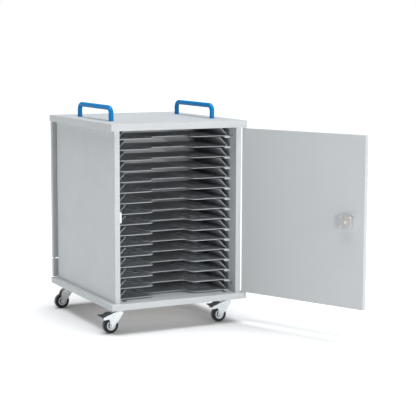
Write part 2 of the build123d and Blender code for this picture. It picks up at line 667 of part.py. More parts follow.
HEX_RADIUS = 5.6
HEX_HEIGHT = 4.5
NUT_BORE_RADIUS = 3.05
BOLT_DISC_RADIUS = 8.0
BOLT_DISC_HEIGHT = 2.6
BOLT_DISC_EDGE = 1.2
BOLT_TIP_REACH = 1.0
with BuildPart() as caster_bolts:
    with BuildSketch(Plane.XY.offset(PLATE_BOTTOM)):
        with Locations(*OUTER_BOLTS):
            Circle(BOLT_RADIUS)
    extrude(amount=PLATE_THICKNESS + BOLT_BLIND_DEPTH)
    with BuildSketch(Plane.XY.offset(PLATE_BOTTOM)):
        with Locations(*OUTER_BOLTS):
            RegularPolygon(HEX_RADIUS, side_count=6)
    extrude(amount=-HEX_HEIGHT)
    with BuildSketch(Plane.XY.offset(BASE_TOP)):
        with Locations(*INNER_BOLTS):
            Circle(BOLT_DISC_RADIUS)
    extrude(amount=BOLT_DISC_HEIGHT)
    fillet(caster_bolts.edges().group_by(Axis.Z)[-1], BOLT_DISC_EDGE)
    with BuildSketch(Plane.XY.offset(BASE_TOP)):
        with Locations(*INNER_BOLTS):
            Circle(BOLT_RADIUS)
    extrude(amount=PLATE_BOTTOM - HEX_HEIGHT - BOLT_TIP_REACH - BASE_TOP)
    with BuildSketch(Plane.XY.offset(PLATE_BOTTOM)):
        with Locations(*INNER_BOLTS):
            RegularPolygon(HEX_RADIUS, side_count=6)
            Circle(NUT_BORE_RADIUS, mode=Mode.SUBTRACT)
    extrude(amount=-HEX_HEIGHT)
save(caster_bolts, "caster_bolts")

# ---------------------------------------------------------------- swivel fork
# Drawn with the kingpin on the Z axis and the wheel trailing towards -X.
AXLE_X = -CASTER_TRAIL
AXLE_Z = WHEEL_RADIUS
AXLE_RADIUS = 4.0
FORK_INNER_Y = 14.0
FORK_SHEET = 2.2
FORK_OUTER_Y = FORK_INNER_Y + FORK_SHEET
FORK_CORNER_RADIUS = 4.0
CORNER_ZONE = (AXLE_Z + 1.0, CROWN_TOP - 1.0)
FORK_BOSS_RADIUS = 9.5
FORK_FRONT_X = 14.0
FORK_REAR_X = -71.0
CROWN_REAR_X = -19.0
RACE_RADIUS = 15.0
KINGPIN_CLEARANCE = 0.08
BRAKE_PIN_X = -28.5
BRAKE_PIN_Z = 73.5
BRAKE_PIN_RADIUS = 2.5
PIN_CLEARANCE = 0.06
AXLE_HEAD_RADIUS = 6.5
AXLE_HEAD_HEIGHT = 3.0
RIVET_HEAD_RADIUS = 4.0
RIVET_HEAD_HEIGHT = 1.4
PIN_HEAD_TAPER = 12.0

# One cheek of a fork, as X and Z from the kingpin: down the front edge to the axle boss, then up
# the rear edge to the crown. The cheek of a braked fork has an arm that carries the pedal.
CHEEK_FRONT_EDGE = (
    (FORK_FRONT_X, CROWN_TOP),
    (FORK_FRONT_X, 79.0),
    (-6.0, 50.0),
    (-24.0, AXLE_Z),
    (-44.5, AXLE_Z),
)
BRAKED_CHEEK = (
    *CHEEK_FRONT_EDGE,
    (-42.0, 50.0),
    (-47.0, 59.0),
    (FORK_REAR_X, 57.0),
    (FORK_REAR_X, 68.0),
    (-32.0, 81.5),
    (CROWN_REAR_X, CROWN_TOP),
)
PLAIN_CHEEK = (
    *CHEEK_FRONT_EDGE,
    (-44.0, 52.0),
    (-41.0, 68.0),
    (-34.0, 80.0),
    (CROWN_REAR_X, CROWN_TOP),
)
AXLE_PIN = (AXLE_X, AXLE_Z, AXLE_RADIUS, AXLE_HEAD_RADIUS, AXLE_HEAD_HEIGHT)
BRAKE_PIN = (BRAKE_PIN_X, BRAKE_PIN_Z, BRAKE_PIN_RADIUS, RIVET_HEAD_RADIUS, RIVET_HEAD_HEIGHT)


def fork_sheet(cheek, pins):
    """The pressed fork: two cheeks of that outline, with holes for the pins, under a crown."""
    with BuildPart() as fork:
        for into in (-1, 1):
            with BuildSketch(wall_plane(into * FORK_OUTER_Y)):
                with BuildLine():
                    Polyline(*cheek, close=True)
                outline = make_face()
                fillet(
                    outline.vertices().filter_by(lambda v: CORNER_ZONE[0] < v.Y < CORNER_ZONE[1]),
                    FORK_CORNER_RADIUS,
                )
                with Locations((AXLE_X, AXLE_Z)):
                    Circle(FORK_BOSS_RADIUS)
                for pin_x, pin_z, pin_radius, *_ in pins:
                    with Locations((pin_x, pin_z)):
                        Circle(pin_radius + PIN_CLEARANCE, mode=Mode.SUBTRACT)
            extrude(amount=into * FORK_SHEET)
        with BuildSketch(Plane.XY.offset(CROWN_TOP)):
            with Locations(((FORK_FRONT_X + CROWN_REAR_X) / 2, 0)):
                Rectangle(FORK_FRONT_X - CROWN_REAR_X, 2 * FORK_OUTER_Y)
        extrude(amount=-CROWN_THICKNESS)
        with BuildSketch(Plane.XY.offset(CROWN_TOP)):
            Circle(RACE_RADIUS)
        extrude(amount=PLATE_BOTTOM - HOUSING_HEIGHT - CROWN_GAP - CROWN_TOP)
        with BuildSketch(Plane.XY.offset(CROWN_TOP - CROWN_THICKNESS)):
            Circle(KINGPIN_RADIUS + KINGPIN_CLEARANCE)
        extrude(amount=PLATE_BOTTOM - CROWN_TOP, mode=Mode.SUBTRACT)
    return fork


def fork_pins(pins):
    """The pins across a fork, each with a head on both sides."""
    with BuildPart() as crossing:
        for pin_x, pin_z, pin_radius, head_radius, head_height in pins:
            with BuildSketch(wall_plane(FORK_OUTER_Y)):
                with Locations((pin_x, pin_z)):
                    Circle(pin_radius)
            extrude(amount=2 * FORK_OUTER_Y)
            for side in (-1, 1):
                with BuildSketch(wall_plane(side * (FORK_OUTER_Y + PIN_CLEARANCE))):
                    with Locations((pin_x, pin_z)):
                        Circle(head_radius)
                extrude(amount=-side * head_height, taper=PIN_HEAD_TAPER)
                with BuildSketch(wall_plane(side * FORK_OUTER_Y)):
                    with Locations((pin_x, pin_z)):
                        Circle(pin_radius)
                extrude(amount=-side * PIN_CLEARANCE)
    return crossing


BRAKED_FORK = (fork_sheet(BRAKED_CHEEK, (AXLE_PIN, BRAKE_PIN)), fork_pins((AXLE_PIN, BRAKE_PIN)))
PLAIN_FORK = (fork_sheet(PLAIN_CHEEK, (AXLE_PIN,)), fork_pins((AXLE_PIN,)))

# ---------------------------------------------------------------- wheel and tyre
# Turned about the axle, which lies along Y.
HUB_RADIUS = 21.5
HUB_FACE_RADIUS = 17.0
HUB_BORE_RADIUS = AXLE_RADIUS + PIN_CLEARANCE
HUB_NECK_RADIUS = 8.0
HUB_WEB_HALF = 7.0
HUB_FACE_CLEARANCE = 0.5
HUB_HALF_WIDTH = FORK_INNER_Y - HUB_FACE_CLEARANCE
HUB_WEB_CHAMFER = 2.0
RIM_RECESS = 1.5
TREAD_HALF = WHEEL_WIDTH / 2
RIM_HALF = TREAD_HALF - RIM_RECESS
TREAD_SHOULDER_RADIUS = 26.5
TREAD_EDGES = ((TREAD_SHOULDER_RADIUS, -TREAD_HALF), (TREAD_SHOULDER_RADIUS, TREAD_HALF))
with BuildPart() as wheel:
    with BuildSketch(Plane.XY):
        with BuildLine():
            Polyline(
                (HUB_BORE_RADIUS, -HUB_HALF_WIDTH),
                (HUB_NECK_RADIUS, -HUB_HALF_WIDTH),
                (HUB_NECK_RADIUS + HUB_WEB_CHAMFER, -HUB_WEB_HALF),
                (HUB_FACE_RADIUS - HUB_WEB_CHAMFER, -HUB_WEB_HALF),
                (HUB_FACE_RADIUS, -RIM_HALF),
                (HUB_RADIUS, -RIM_HALF),
                (HUB_RADIUS, RIM_HALF),
                (HUB_FACE_RADIUS, RIM_HALF),
                (HUB_FACE_RADIUS - HUB_WEB_CHAMFER, HUB_WEB_HALF),
                (HUB_NECK_RADIUS + HUB_WEB_CHAMFER, HUB_WEB_HALF),
                (HUB_NECK_RADIUS, HUB_HALF_WIDTH),
                (HUB_BORE_RADIUS, HUB_HALF_WIDTH),
                close=True,
            )
        make_face()
    revolve(axis=Axis.Y)

with BuildPart() as tyre:
    with BuildSketch(Plane.XY):
        with BuildLine():
            Line((HUB_RADIUS, RIM_HALF), (HUB_RADIUS, -RIM_HALF))
            Line((HUB_RADIUS, -RIM_HALF), TREAD_EDGES[0])
            ThreePointArc(TREAD_EDGES[0], (WHEEL_RADIUS, 0), TREAD_EDGES[1])
            Line(TREAD_EDGES[1], (HUB_RADIUS, RIM_HALF))
        make_face()
    revolve(axis=Axis.Y)

# ---------------------------------------------------------------- brake pedal
PEDAL_SIDE_CLEARANCE = 0.6
PEDAL_HALF_WIDTH = FORK_INNER_Y - PEDAL_SIDE_CLEARANCE
PEDAL_EDGE_RADIUS = 0.5

# The side of the pedal, as X and Z from the kingpin: up the front of its boss, over the humped
# back, along the foot plate to its tip, and back underneath.
PEDAL_OUTLINE = (
    (-22.5, 69.0),
    (-22.5, 78.0),
    (-28.0, 82.0),
    (-35.0, 85.0),
    (-46.0, 86.0),
    (-54.0, 83.5),
    (-61.0, 79.0),
    (-72.0, 77.0),
    (-86.0, 78.0),
    (-87.0, 75.5),
    (-79.0, 70.0),
    (-72.0, 65.5),
    (-66.0, 65.5),
    (-58.0, 70.0),
    (-42.0, 67.5),
    (-28.0, 67.5),
)
with BuildPart() as brake_pedal:
    with BuildSketch(wall_plane(PEDAL_HALF_WIDTH)):
        with BuildLine():
            Polyline(*PEDAL_OUTLINE, close=True)
        make_face()
    extrude(amount=2 * PEDAL_HALF_WIDTH)
    fillet(brake_pedal.edges().filter_by(Axis.Y), PEDAL_EDGE_RADIUS)
    with BuildSketch(wall_plane(PEDAL_HALF_WIDTH)):
        with Locations((BRAKE_PIN_X, BRAKE_PIN_Z)):
            Circle(BRAKE_PIN_RADIUS + PIN_CLEARANCE)
    extrude(amount=2 * PEDAL_HALF_WIDTH, mode=Mode.SUBTRACT)

CASTERS = {
    "front_left": (-CASTER_X, -CASTER_Y),
    "front_right": (CASTER_X, -CASTER_Y),
    "rear_left": (-CASTER_X, CASTER_Y),
    "rear_right": (CASTER_X, CASTER_Y),
}
for corner, (x, y) in CASTERS.items():
    kingpin = Location((x, y, 0))
    hub = Location((x + AXLE_X, y, AXLE_Z))
    braked = y < 0
    fork, pins = BRAKED_FORK if braked else PLAIN_FORK
    with BuildPart() as caster_fork:
        with Locations(kingpin):
            add(fork.part)
            add(pins.part)
    save(caster_fork, f"{corner}_fork")
    save_moved(wheel, f"{corner}_wheel", hub)
    save_moved(tyre, f"{corner}_tyre", hub)
    if braked:
        save_moved(brake_pedal, f"{corner}_brake_pedal", kingpin)
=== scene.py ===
"""Looks of the laptop storage trolley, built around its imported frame.

Every length is in metres, in the trolley's own frame: +Z up, the front faces -Y, and the origin
is on the floor under the centre of the cabinet.
"""

from __future__ import annotations

import json
import logging
import math
from collections.abc import Callable, Iterable, Sequence
from dataclasses import dataclass, field
from enum import Enum

import bmesh
import bpy
from mathutils import Matrix, Vector

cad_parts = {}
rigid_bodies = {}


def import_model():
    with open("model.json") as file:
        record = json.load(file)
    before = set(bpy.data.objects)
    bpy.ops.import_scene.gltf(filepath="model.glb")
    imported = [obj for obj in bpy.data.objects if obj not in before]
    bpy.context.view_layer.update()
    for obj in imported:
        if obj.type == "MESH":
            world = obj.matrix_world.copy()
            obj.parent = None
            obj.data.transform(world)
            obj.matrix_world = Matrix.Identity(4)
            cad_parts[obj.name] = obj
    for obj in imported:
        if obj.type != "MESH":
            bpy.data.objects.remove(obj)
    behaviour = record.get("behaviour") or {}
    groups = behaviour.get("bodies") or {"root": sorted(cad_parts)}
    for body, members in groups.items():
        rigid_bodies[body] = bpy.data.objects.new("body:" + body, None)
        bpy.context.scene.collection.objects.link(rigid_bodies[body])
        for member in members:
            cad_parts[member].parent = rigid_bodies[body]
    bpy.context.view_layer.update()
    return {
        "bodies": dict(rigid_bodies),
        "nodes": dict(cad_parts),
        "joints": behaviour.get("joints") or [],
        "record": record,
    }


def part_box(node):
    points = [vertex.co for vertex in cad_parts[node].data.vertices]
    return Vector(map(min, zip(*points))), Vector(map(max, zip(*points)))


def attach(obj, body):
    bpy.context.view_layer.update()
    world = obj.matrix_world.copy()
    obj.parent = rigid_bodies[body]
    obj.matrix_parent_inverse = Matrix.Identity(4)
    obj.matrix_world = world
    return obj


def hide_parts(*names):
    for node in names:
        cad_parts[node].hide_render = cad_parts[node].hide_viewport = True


LOG = logging.getLogger("laptop_trolley")

Colour = tuple[float, float, float]
Point = tuple[float, float, float]
Span = tuple[float, float]
Profile = tuple[tuple[float, float], ...]
Socket = bpy.types.NodeSocket

# Shading: how far every edge is softened, how finely, and where most of a noise's values lie.
SOFT_EDGE = 0.0006
BEVEL_SAMPLES = 4
NOISE_MIDDLE = (0.3, 0.7)
WHOLE = (0.0, 1.0)
# How closely the rounded normal agrees with the face's own: on a sharp edge, and off it.
EDGE_AGREEMENT = (0.75, 0.99)

# Meshes: edges sharper than this stay sharp, and how fine the turned and pressed shapes are.
CREASE_DEGREES = 35.0
TURNED_SEGMENTS = 96
PLATE_STEPS = 72
SAME_POINT = 1e-6
POINT_DIGITS = 5
SLAB_SEGMENTS = 3
SLAB_ROUNDNESS = 0.6


# ------------------------------------------------------------------------------- shading


def shaded(colour: Colour, factor: float) -> Colour:
    """A colour made darker or lighter by a factor."""
    return tuple(min(1.0, factor * part) for part in colour)


@dataclass(frozen=True)
class Waves:
    """A noise pattern: its waves in a metre, the finer detail over them, and its stretch."""

    count: float
    detail: float = 3.0
    stretch: Point | None = None


class Shader:
    """A material's node tree, with short ways to add and join its nodes."""

    def __init__(self, name: str) -> None:
        """Start an empty material.

        Args:
            name: The material's name.
        """
        self.material = bpy.data.materials.new(name)
        self.material.use_nodes = True
        self.tree = self.material.node_tree
        self.tree.nodes.clear()
        self.surface = self.add("ShaderNodeBsdfPrincipled")
        output = self.add("ShaderNodeOutputMaterial")
        self.tree.links.new(self.surface.outputs["BSDF"], output.inputs["Surface"])
        self.place = self.add("ShaderNodeTexCoord").outputs["Object"]

    def add(self, kind: str, **settings: object) -> bpy.types.Node:
        """Add a node and set its properties.

        Args:
            kind: Blender's name for the node type.
            **settings: Properties to set on the node.

        Returns:
            The new node.
        """
        node = self.tree.nodes.new(kind)
        for key, value in settings.items():
            setattr(node, key, value)
        return node

    def join(self, output: Socket, target: Socket) -> None:
        """Link one socket to another."""
        self.tree.links.new(output, target)

    def feed(self, **values: Socket) -> None:
        """Link values to the surface's own sockets.

        Args:
            **values: Socket names with spaces written as underscores, and what feeds them.
        """
        for key, value in values.items():
            self.join(value, self.surface.inputs[key.replace("_", " ")])

    def constants(self, **numbers: float) -> None:
        """Set numbers on the surface's own sockets.

        Args:
            **numbers: Socket names with spaces written as underscores, and their values.
        """
        for key, number in numbers.items():
            self.surface.inputs[key.replace("_", " ")].default_value = number

    def stretched(self, scale: Point) -> Socket:
        """The place on the trolley, stretched along each axis.

        Args:
            scale: A factor for each axis.

        Returns:
            The socket that gives the stretched place.
        """
        mapping = self.add("ShaderNodeMapping")
        mapping.inputs["Scale"].default_value = scale
        self.join(self.place, mapping.inputs["Vector"])
        return mapping.outputs["Vector"]

    def noise(self, waves: Waves) -> Socket:
        """A noise value between 0 and 1.

        Args:
            waves: The pattern of the noise.

        Returns:
            The noise's value socket.
        """
        node = self.add("ShaderNodeTexNoise")
        node.inputs["Scale"].default_value = waves.count
        node.inputs["Detail"].default_value = waves.detail
        place = self.stretched(waves.stretch) if waves.stretch else self.place
        self.join(place, node.inputs["Vector"])
        return node.outputs["Fac"]

    def spread(self, value: Socket, new: Span, old: Span = NOISE_MIDDLE) -> Socket:
        """Spread a value over a new range, and clamp it there.

        Args:
            value: The socket to read.
            new: What the old range's ends become.
            old: The part of the value's range that is spread.

        Returns:
            The socket with the new value.
        """
        node = self.add("ShaderNodeMapRange")
        limits = {"From Min": old[0], "From Max": old[1], "To Min": new[0], "To Max": new[1]}
        for key, number in limits.items():
            node.inputs[key].default_value = number
        self.join(value, node.inputs["Value"])
        return node.outputs["Result"]

    def product(self, first: Socket, second: Socket) -> Socket:
        """Multiply two values.

        Args:
            first: One value's socket.
            second: The other's.

        Returns:
            The socket with their product.
        """
        node = self.add("ShaderNodeMath", operation="MULTIPLY")
        self.join(first, node.inputs[0])
        self.join(second, node.inputs[1])
        return node.outputs["Value"]

    def blend(self, share: Socket, first: Colour | Socket, second: Colour) -> Socket:
        """Mix two colours.

        Args:
            share: How much of the second colour shows.
            first: A colour, or a socket that gives one.
            second: The other colour.

        Returns:
            The mixed colour's socket.
        """
        node = self.add("ShaderNodeMix", data_type="RGBA")
        self.join(share, node.inputs["Factor"])
        if isinstance(first, tuple):
            node.inputs["A"].default_value = (*first, 1.0)
        else:
            self.join(first, node.inputs["A"])
        node.inputs["B"].default_value = (*second, 1.0)
        return node.outputs["Result"]

    def mottle(self, colour: Colour, waves: Waves, factor: float, share: Span = WHOLE) -> Socket:
        """Cloud a colour with a darker or lighter shade of itself.

        Args:
            colour: The plain colour.
            waves: The pattern of the clouds.
            factor: How dark or light they are.
            share: How much of them shows, at least and at most.

        Returns:
            The clouded colour's socket.
        """
        return self.blend(self.spread(self.noise(waves), share), colour, shaded(colour, factor))

    def rubbed_edges(self, reach: float, waves: Waves, share: Span) -> Socket:
        """Find the sharp edges, rubbed unevenly: near 1 where they are worn, 0 on a flat face.

        Args:
            reach: How far from an edge the wear goes.
            waves: The pattern of the wear along the edges.
            share: How much they are worn, at least and at most.

        Returns:
            The socket with the value.
        """
        rounded = self.add("ShaderNodeBevel", samples=BEVEL_SAMPLES)
        rounded.inputs["Radius"].default_value = reach
        facing = self.add("ShaderNodeVectorMath", operation="DOT_PRODUCT")
        self.join(rounded.outputs["Normal"], facing.inputs[0])
        self.join(self.add("ShaderNodeNewGeometry").outputs["Normal"], facing.inputs[1])
        edges = self.spread(facing.outputs["Value"], (1.0, 0.0), EDGE_AGREEMENT)
        return self.product(edges, self.spread(self.noise(waves), share))

    def relief(self, heights: Iterable[tuple[Socket, float]]) -> None:
        """Soften every edge, and raise the surface by several heights, one over the other.

        Args:
            heights: Pairs of a value's socket and the height of its relief.
        """
        softened = self.add("ShaderNodeBevel", samples=BEVEL_SAMPLES)
        softened.inputs["Radius"].default_value = SOFT_EDGE
        normal = softened.outputs["Normal"]
        for value, depth in heights:
            bump = self.add("ShaderNodeBump")
            bump.inputs["Distance"].default_value = depth
            self.join(value, bump.inputs["Height"])
            self.join(normal, bump.inputs["Normal"])
            normal = bump.outputs["Normal"]
        self.feed(Normal=normal)


@dataclass(frozen=True)
class BoardFinish:
    """Melamine-faced board: satin, with a fine pearl and slightly rubbed edges."""

    name: str
    colour: Colour
    edge_colour: Colour
    roughness: Span = (0.36, 0.5)
    specular: float = 0.45
    clouds: Waves = Waves(2.2, 2.0)
    cloud_shade: float = 0.965
    edge_reach: float = 0.0016
    wear: Waves = Waves(38.0)
    wear_share: Span = (0.25, 0.9)
    smears: Waves = Waves(14.0, 5.0)
    pearl: Waves = Waves(420.0, 2.0)
    pearl_height: float = 0.00006
    fine_pearl: Waves = Waves(1600.0, 1.0)
    fine_pearl_height: float = 0.00002

    def make(self) -> bpy.types.Material:
        """Build the material.

        Returns:
            The new material.
        """
        shader = Shader(self.name)
        face = shader.mottle(self.colour, self.clouds, self.cloud_shade)
        rubbed = shader.rubbed_edges(self.edge_reach, self.wear, self.wear_share)
        shader.feed(Base_Color=shader.blend(rubbed, face, self.edge_colour),
                    Roughness=shader.spread(shader.noise(self.smears), self.roughness))
        shader.relief(((shader.noise(self.pearl), self.pearl_height),
                       (shader.noise(self.fine_pearl), self.fine_pearl_height)))
        shader.constants(Specular_IOR_Level=self.specular)
        return shader.material


@dataclass(frozen=True)
class PlasticFinish:
    """Moulded plastic with a spark-eroded grain, and scuffs along the way that it slides."""

    name: str
    colour: Colour
    scuff_colour: Colour
    roughness: float = 0.45
    grain_height: float = 0.00012
    scuff_share: float = 0.5
    specular: float = 0.5
    clouds: Waves = Waves(7.0)
    cloud_shade: float = 0.86
    cloud_share: Span = (0.0, 0.6)
    scuffs: Waves = Waves(4.0, 6.0, (60.0, 3.0, 60.0))
    scuff_limits: Span = (0.56, 0.8)
    scuff_roughness: float = 0.15
    scuff_depth: float = 0.25
    roughest_scuff: float = 0.5
    edge_reach: float = 0.0012
    wear: Waves = Waves(55.0)
    wear_share: Span = (0.1, 0.8)
    grain: Waves = Waves(1400.0, 2.0)

    def make(self) -> bpy.types.Material:
        """Build the material.

        Returns:
            The new material.
        """
        shader = Shader(self.name)
        tint = shader.mottle(self.colour, self.clouds, self.cloud_shade, self.cloud_share)
        scuffs = shader.spread(shader.noise(self.scuffs), (0.0, self.scuff_share),
                               self.scuff_limits)
        marked = shader.blend(scuffs, tint, self.scuff_colour)
        rubbed = shader.rubbed_edges(self.edge_reach, self.wear, self.wear_share)
        worn = (self.roughness, self.roughness + self.scuff_roughness)
        shader.feed(Base_Color=shader.blend(rubbed, marked, self.scuff_colour),
                    Roughness=shader.spread(scuffs, worn, (0.0, self.roughest_scuff)))
        shader.relief(((shader.noise(self.grain), self.grain_height),
                       (scuffs, -self.scuff_depth * self.grain_height)))
        shader.constants(Specular_IOR_Level=self.specular)
        return shader.material


@dataclass(frozen=True)
class CoatFinish:
    """Powder coat or lacquer on metal: an even sheen, with a light orange peel."""

    name: str
    colour: Colour
    roughness: float = 0.3
    peel_height: float = 0.00018
    specular: float = 0.12
    coat: float = 0.03
    coat_roughness: float = 0.15
    clouds: Waves = Waves(11.0)
    cloud_shade: float = 0.9
    wear: Waves = Waves(30.0, 6.0)
    wear_limits: Span = (0.45, 0.75)
    wear_roughness: float = 0.14
    peel: Waves = Waves(260.0, 2.0)

    def make(self) -> bpy.types.Material:
        """Build the material.

        Returns:
            The new material.
        """
        shader = Shader(self.name)
        worn = (self.roughness, self.roughness + self.wear_roughness)
        shader.feed(Base_Color=shader.mottle(self.colour, self.clouds, self.cloud_shade),
                    Roughness=shader.spread(shader.noise(self.wear), worn, self.wear_limits))
        shader.relief(((shader.noise(self.peel), self.peel_height),))
        shader.constants(Coat_Weight=self.coat, Coat_Roughness=self.coat_roughness,
                         Specular_IOR_Level=self.specular)
        return shader.material


@dataclass(frozen=True)
class SteelFinish:
    """Plated steel, with a faint crystal pattern and handling marks."""

    name: str
    colour: Colour
    roughness: float = 0.28
    crystal_share: float = 0.1
    crystals: float = 190.0
    crystal_shade: float = 0.55
    edge_shade: float = 1.2
    edge_reach: float = 0.0008
    wear: Waves = Waves(90.0)
    wear_share: Span = (0.2, 0.8)
    marks: Waves = Waves(70.0, 6.0, (1.0, 1.0, 3.0))
    mark_roughness: Span = (-0.07, 0.14)
    scratches: Waves = Waves(600.0)
    scratch_height: float = 0.00004

    def make(self) -> bpy.types.Material:
        """Build the material.

        Returns:
            The new material.
        """
        shader = Shader(self.name)
        cells = shader.add("ShaderNodeTexVoronoi")
        cells.inputs["Scale"].default_value = self.crystals
        shader.join(shader.place, cells.inputs["Vector"])
        grain = shader.spread(cells.outputs["Color"], (0.0, self.crystal_share), WHOLE)
        tint = shader.blend(grain, self.colour, shaded(self.colour, self.crystal_shade))
        rubbed = shader.rubbed_edges(self.edge_reach, self.wear, self.wear_share)
        marked = tuple(self.roughness + change for change in self.mark_roughness)
        shader.feed(Base_Color=shader.blend(rubbed, tint, shaded(self.colour, self.edge_shade)),
                    Roughness=shader.spread(shader.noise(self.marks), marked))
        shader.relief(((shader.noise(self.scratches), self.scratch_height),))
        shader.constants(Metallic=1.0)
        return shader.material


@dataclass(frozen=True)
class RubberFinish:
    """Rolled rubber, greyed in its pores; on the tread the lighter grey is worn rubber and a
    painted highlight.
    """

    name: str
    colour: Colour
    dust_and_sheen_colour: Colour
    dust_and_sheen_share: float
    roughness: Span = (0.5, 0.85)
    specular: float = 0.4
    dust_and_sheen_waves: Waves = Waves(160.0, 6.0)
    dust_and_sheen_limits: Span = (0.4, 0.75)
    pores: Waves = Waves(900.0, 4.0)
    pore_height: float = 0.0001
    swell: Waves = Waves(220.0, 2.0)
    swell_height: float = 0.00008

    def make(self) -> bpy.types.Material:
        """Build the material.

        Returns:
            The new material.
        """
        shader = Shader(self.name)
        # The lighter grey in the pores is real grime on the casing, and on the tread it is also a
        # painted highlight.
        dust_and_sheen_span = (0.0, self.dust_and_sheen_share)
        dust_and_sheen = shader.spread(shader.noise(self.dust_and_sheen_waves), dust_and_sheen_span, self.dust_and_sheen_limits)
        shader.feed(Base_Color=shader.blend(dust_and_sheen, self.colour, self.dust_and_sheen_colour),
                    Roughness=shader.spread(dust_and_sheen, self.roughness, dust_and_sheen_span))
        shader.relief(((shader.noise(self.pores), self.pore_height),
                       (shader.noise(self.swell), self.swell_height)))
        shader.constants(Specular_IOR_Level=self.specular)
        return shader.material


class Finish(Enum):
    """Every finish on the trolley, with the record's slot that it belongs to."""

    BOARD = ("grey_board", BoardFinish(
        "grey_melamine_board", (0.487, 0.505, 0.515), edge_colour=(0.56, 0.575, 0.58)))
    RAIL = ("rail_plastic", PlasticFinish(
        "light_rail_plastic", (0.62, 0.635, 0.65), scuff_colour=(0.7, 0.71, 0.72),
        roughness=0.38, grain_height=0.00004, scuff_share=0.3))
    TRAY = ("tray_plastic", PlasticFinish(
        "grey_tray_plastic", (0.37, 0.39, 0.41), scuff_colour=(0.48, 0.5, 0.52)))
    HANDLE = ("blue_coating", CoatFinish("blue_powder_coat", (0.0, 0.19, 0.5)))
    ZINC = ("zinc_steel", SteelFinish("bright_zinc_plate", (0.68, 0.7, 0.72)))
    STRIKE = ("white_steel", CoatFinish(
        "white_strike_paint", (0.82, 0.83, 0.83), roughness=0.35, peel_height=0.00005))
    DARK_STEEL = ("dark_steel", SteelFinish(
        "dark_passivated_steel", (0.12, 0.12, 0.125), roughness=0.4))
    CONNECTOR = ("connector_cap", SteelFinish(
        "die_cast_connector", (0.5, 0.51, 0.52), roughness=0.45))
    BLACK = ("black_plastic", PlasticFinish(
        "black_moulding", (0.009, 0.009, 0.01), scuff_colour=(0.05, 0.05, 0.052),
        roughness=0.38))
    NICKEL = ("nickel_steel", SteelFinish(
        "satin_nickel_plate", (0.74, 0.745, 0.75), roughness=0.33, crystal_share=0.04))
    LOCK_COVER = ("nickel_steel", CoatFinish(
        "satin_lock_cover", (0.44, 0.432, 0.425), roughness=0.5, peel_height=0.00004))
    KEY_METAL = ("brass_nickel", SteelFinish(
        "nickelled_brass", (0.72, 0.7, 0.65), roughness=0.22, crystal_share=0.03))
    WHEEL = ("wheel_core", PlasticFinish(
        "silver_wheel_centre", (0.74, 0.77, 0.8), scuff_colour=(0.8, 0.82, 0.84),
        roughness=0.3, grain_height=0.00005, scuff_share=0.3))
    TYRE = ("tyre_rubber", RubberFinish(
        "black_tyre_rubber", (0.006, 0.006, 0.0065), dust_and_sheen_colour=(0.05, 0.049, 0.047),
        dust_and_sheen_share=0.18))
    # The tread's grey band is worn rubber and a painted highlight along the tread.
    TREAD = ("tyre_rubber", RubberFinish(
        "tread_rubber_painted_sheen", (0.1, 0.1, 0.102), dust_and_sheen_colour=(0.26, 0.255, 0.25),
        dust_and_sheen_share=0.7))

    @property
    def slot(self) -> str:
        """The record's slot."""
        return self.value[0]

    @property
    def material(self) -> bpy.types.Material:
        """The material, made the first time it is asked for."""
        recipe = self.value[1]
        return bpy.data.materials.get(recipe.name) or recipe.make()


def dress_node(frame: dict, node: str, finish: Finish) -> None:
    """Give one CAD node its finish.

    Args:
        node: The CAD node's name.
        finish: The finish that it gets.
    """
    carried = frame["nodes"][node]
    carried.data.materials.clear()
    carried.data.materials.append(finish.material)
    LOG.info("dressed %s in %s", node, finish.material.name)


# ------------------------------------------------------------------------------- meshes


def new_piece(name: str, mesh: bpy.types.Mesh, finish: Finish, body: str) -> bpy.types.Object:
    """Put a mesh into the scene as a piece that rides on a body.

    Args:
        name: The piece's name.
        mesh: Its mesh, in the trolley's frame.
        finish: The finish that it gets.
        body: The CAD body that it moves with.

    Returns:
        The new piece.
    """
    for polygon in mesh.polygons:
        polygon.use_smooth = True
    mesh.set_sharp_from_angle(angle=math.radians(CREASE_DEGREES))
    mesh.materials.append(finish.material)
    piece = bpy.data.objects.new(name, mesh)
    bpy.context.scene.collection.objects.link(piece)
    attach(piece, body)
    LOG.info("built %s on %s with %d faces", name, body, len(mesh.polygons))
    return piece


def to_mesh(name: str, shape: bmesh.types.BMesh) -> bpy.types.Mesh:
    """Turn a bmesh into a mesh, and free it."""
    mesh = bpy.data.meshes.new(name)
    shape.to_mesh(mesh)
    shape.free()
    return mesh


def turned(name: str, profile: Sequence[tuple[float, float]], centre: Point,
           turn: Matrix | None = None, segments: int = TURNED_SEGMENTS) -> bpy.types.Mesh:
    """Turn a closed profile about an axis.

    Args:
        name: The mesh's name.
        profile: Closed loop of points, each a radius and a place along the axis.
        centre: The point on the axis at place 0.
        turn: Turns the axis away from Y, or None.
        segments: How many steps go round.

    Returns:
        The closed mesh.
    """
    shape = bmesh.new()
    rings = []
    for step in range(segments):
        angle = 2 * math.pi * step / segments
        ring = []
        for radius, along in profile:
            spot = Vector((radius * math.cos(angle), along, radius * math.sin(angle)))
            ring.append(shape.verts.new(Vector(centre) + (turn @ spot if turn else spot)))
        rings.append(ring)
    for here, after in zip(rings, rings[1:] + rings[:1]):
        join_rings(shape, here, after)
    bmesh.ops.remove_doubles(shape, verts=shape.verts, dist=SAME_POINT)
    bmesh.ops.recalc_face_normals(shape, faces=shape.faces)
    return to_mesh(name, shape)


def join_rings(shape: bmesh.types.BMesh, here: Sequence[bmesh.types.BMVert],
               after: Sequence[bmesh.types.BMVert]) -> None:
    """Join two rings of vertices with a band of faces.

    Args:
        shape: The bmesh that holds them.
        here: One ring.
        after: The next ring, with as many vertices.
    """
    for index, vertex in enumerate(here):
        follower = (index + 1) % len(here)
        shape.faces.new((vertex, here[follower], after[follower], after[index]))


